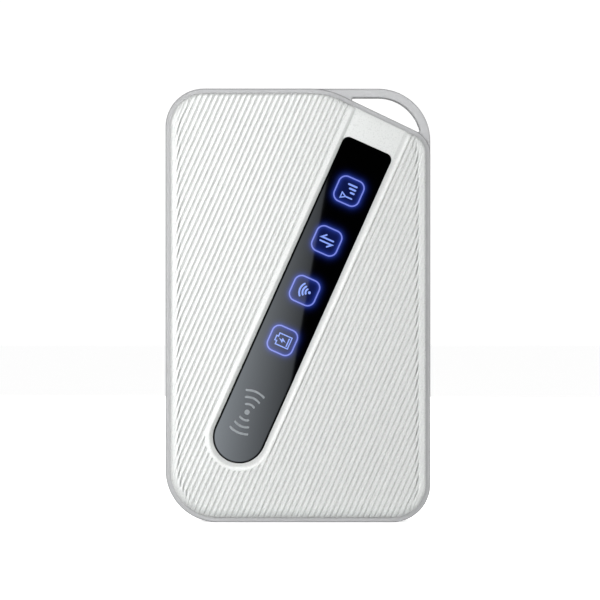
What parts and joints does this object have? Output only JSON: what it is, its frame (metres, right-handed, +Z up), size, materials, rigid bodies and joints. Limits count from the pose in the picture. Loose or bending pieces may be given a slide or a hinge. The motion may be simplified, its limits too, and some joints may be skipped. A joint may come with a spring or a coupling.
{
  "type": "mobile hotspot",
  "caption": "Pocket mobile hotspot with a ribbed front cover, a slanted black display window, a lanyard loop, side keys, a charging socket, card holders and a removable battery cover.",
  "frame": {"origin": "middle of the bottom end, midway between the front and back faces", "axes": "+Z up along the long side towards the lanyard loop end, -Y out of the front face with the display window, +X to the right seen from the front"},
  "size_m": [0.061, 0.014, 0.1],
  "materials": {
    "cover_white": "fine satin texture",
    "frame_grey": "satin",
    "window_black": "polished",
    "film_print": "printed film",
    "adhesive": "matt",
    "inner_black": "matt",
    "board_green": "solder mask",
    "led_white": "clear resin",
    "chip_black": "moulded resin",
    "shield_steel": "tinned sheet",
    "contact_gold": "plated",
    "socket_steel": "stamped sheet",
    "key_grey": "satin",
    "card_white": "smooth",
    "card_black": "smooth",
    "chassis_grey": "matt",
    "screw_steel": "zinc plated",
    "cell_black": "wrapped film",
    "label_paper": "paper label, blank",
    "nub_plastic": "moulded"
  },
  "bodies": {
    "housing": {"mid_frame": "frame_grey", "front_cover": "cover_white", "display_window": "window_black", "window_adhesive": "adhesive", "icon_film": "film_print", "light_baffle": "inner_black", "main_board": "board_green", "status_leds": "led_white", "baseband_chip": "chip_black", "memory_chip": "chip_black", "transceiver_chip": "chip_black", "power_chip": "chip_black", "baseband_shield": "shield_steel", "radio_shield": "shield_steel", "main_antenna": "contact_gold", "diversity_antenna": "contact_gold", "wifi_antenna": "contact_gold", "usb_shell": "socket_steel", "usb_tongue": "inner_black", "power_switch": "inner_black", "pairing_switch": "inner_black", "reset_switch": "inner_black", "sim_holder": "socket_steel", "memory_card_holder": "socket_steel", "rear_chassis": "chassis_grey", "housing_screws": "screw_steel", "bay_label": "label_paper", "battery_connector": "inner_black", "battery_contacts": "contact_gold"},
    "battery_cover": {"battery_cover": "cover_white"},
    "battery": {"battery_pack": "cell_black", "battery_label": "label_paper"},
    "power_key": {"power_button": "key_grey", "power_plunger": "nub_plastic"},
    "pairing_key": {"pairing_button": "key_grey", "pairing_plunger": "nub_plastic"},
    "reset_key": {"reset_button": "nub_plastic"},
    "sim_card": {"sim_card": "card_white"},
    "memory_card": {"memory_card": "card_black"}
  },
  "joints": [
    {"name": "battery_cover_lift", "type": "slide", "parent": "housing", "child": "battery_cover", "axis": [0, 1, 0], "range_m": [0, 0.04]},
    {"name": "battery_lift", "type": "slide", "parent": "housing", "child": "battery", "axis": [0, 1, 0], "range_m": [0, 0.02]},
    {"name": "power_button_press", "type": "slide", "parent": "housing", "child": "power_key", "axis": [1, 0, 0], "range_m": [0, 0.00035], "stiffness_N_per_m": 2500},
    {"name": "pairing_button_press", "type": "slide", "parent": "housing", "child": "pairing_key", "axis": [-1, 0, 0], "range_m": [0, 0.00035], "stiffness_N_per_m": 2500},
    {"name": "reset_button_press", "type": "slide", "parent": "housing", "child": "reset_key", "axis": [0, -1, 0], "range_m": [0, 0.00025], "stiffness_N_per_m": 2500},
    {"name": "sim_card_slide", "type": "slide", "parent": "housing", "child": "sim_card", "axis": [1, 0, 0], "range_m": [0, 0.014]},
    {"name": "memory_card_slide", "type": "slide", "parent": "housing", "child": "memory_card", "axis": [1, 0, 0], "range_m": [0, 0.013]}
  ],
  "couplings": [
    {"joint": "battery_lift", "follows": "battery_cover_lift", "ratio": 0.5}
  ]
}
